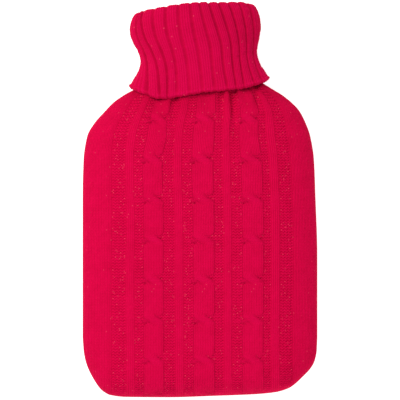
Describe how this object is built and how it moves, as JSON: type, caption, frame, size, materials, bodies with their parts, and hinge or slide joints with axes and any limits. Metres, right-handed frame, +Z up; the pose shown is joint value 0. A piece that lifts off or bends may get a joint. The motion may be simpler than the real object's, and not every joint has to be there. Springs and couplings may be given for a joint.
{
  "type": "hot water bottle cover",
  "caption": "Soft hollow knitted cover with a cabled front panel, a plain back panel and a ribbed collar that rolls over and hangs down outside the neck.",
  "frame": {"origin": "middle of the rest surface under the cover's bounding box, which the flat of the back lies on", "axes": "+X across the cover to the wearer's right as seen from above, +Y from the foot up to the mouth, +Z up out of the cabled front"},
  "size_m": [0.21, 0.353, 0.0465],
  "materials": {
    "cable_knit": "soft matt knitted yarn, cables and plain columns on purl grooves",
    "plain_knit": "soft matt knitted yarn, plain stocking stitch",
    "rib_knit": "soft matt knitted yarn, two by two rib"
  },
  "bodies": {
    "root": {"front_panel": "cable_knit", "back_panel": "plain_knit", "roll_collar": "rib_knit"}
  },
  "joints": []
}
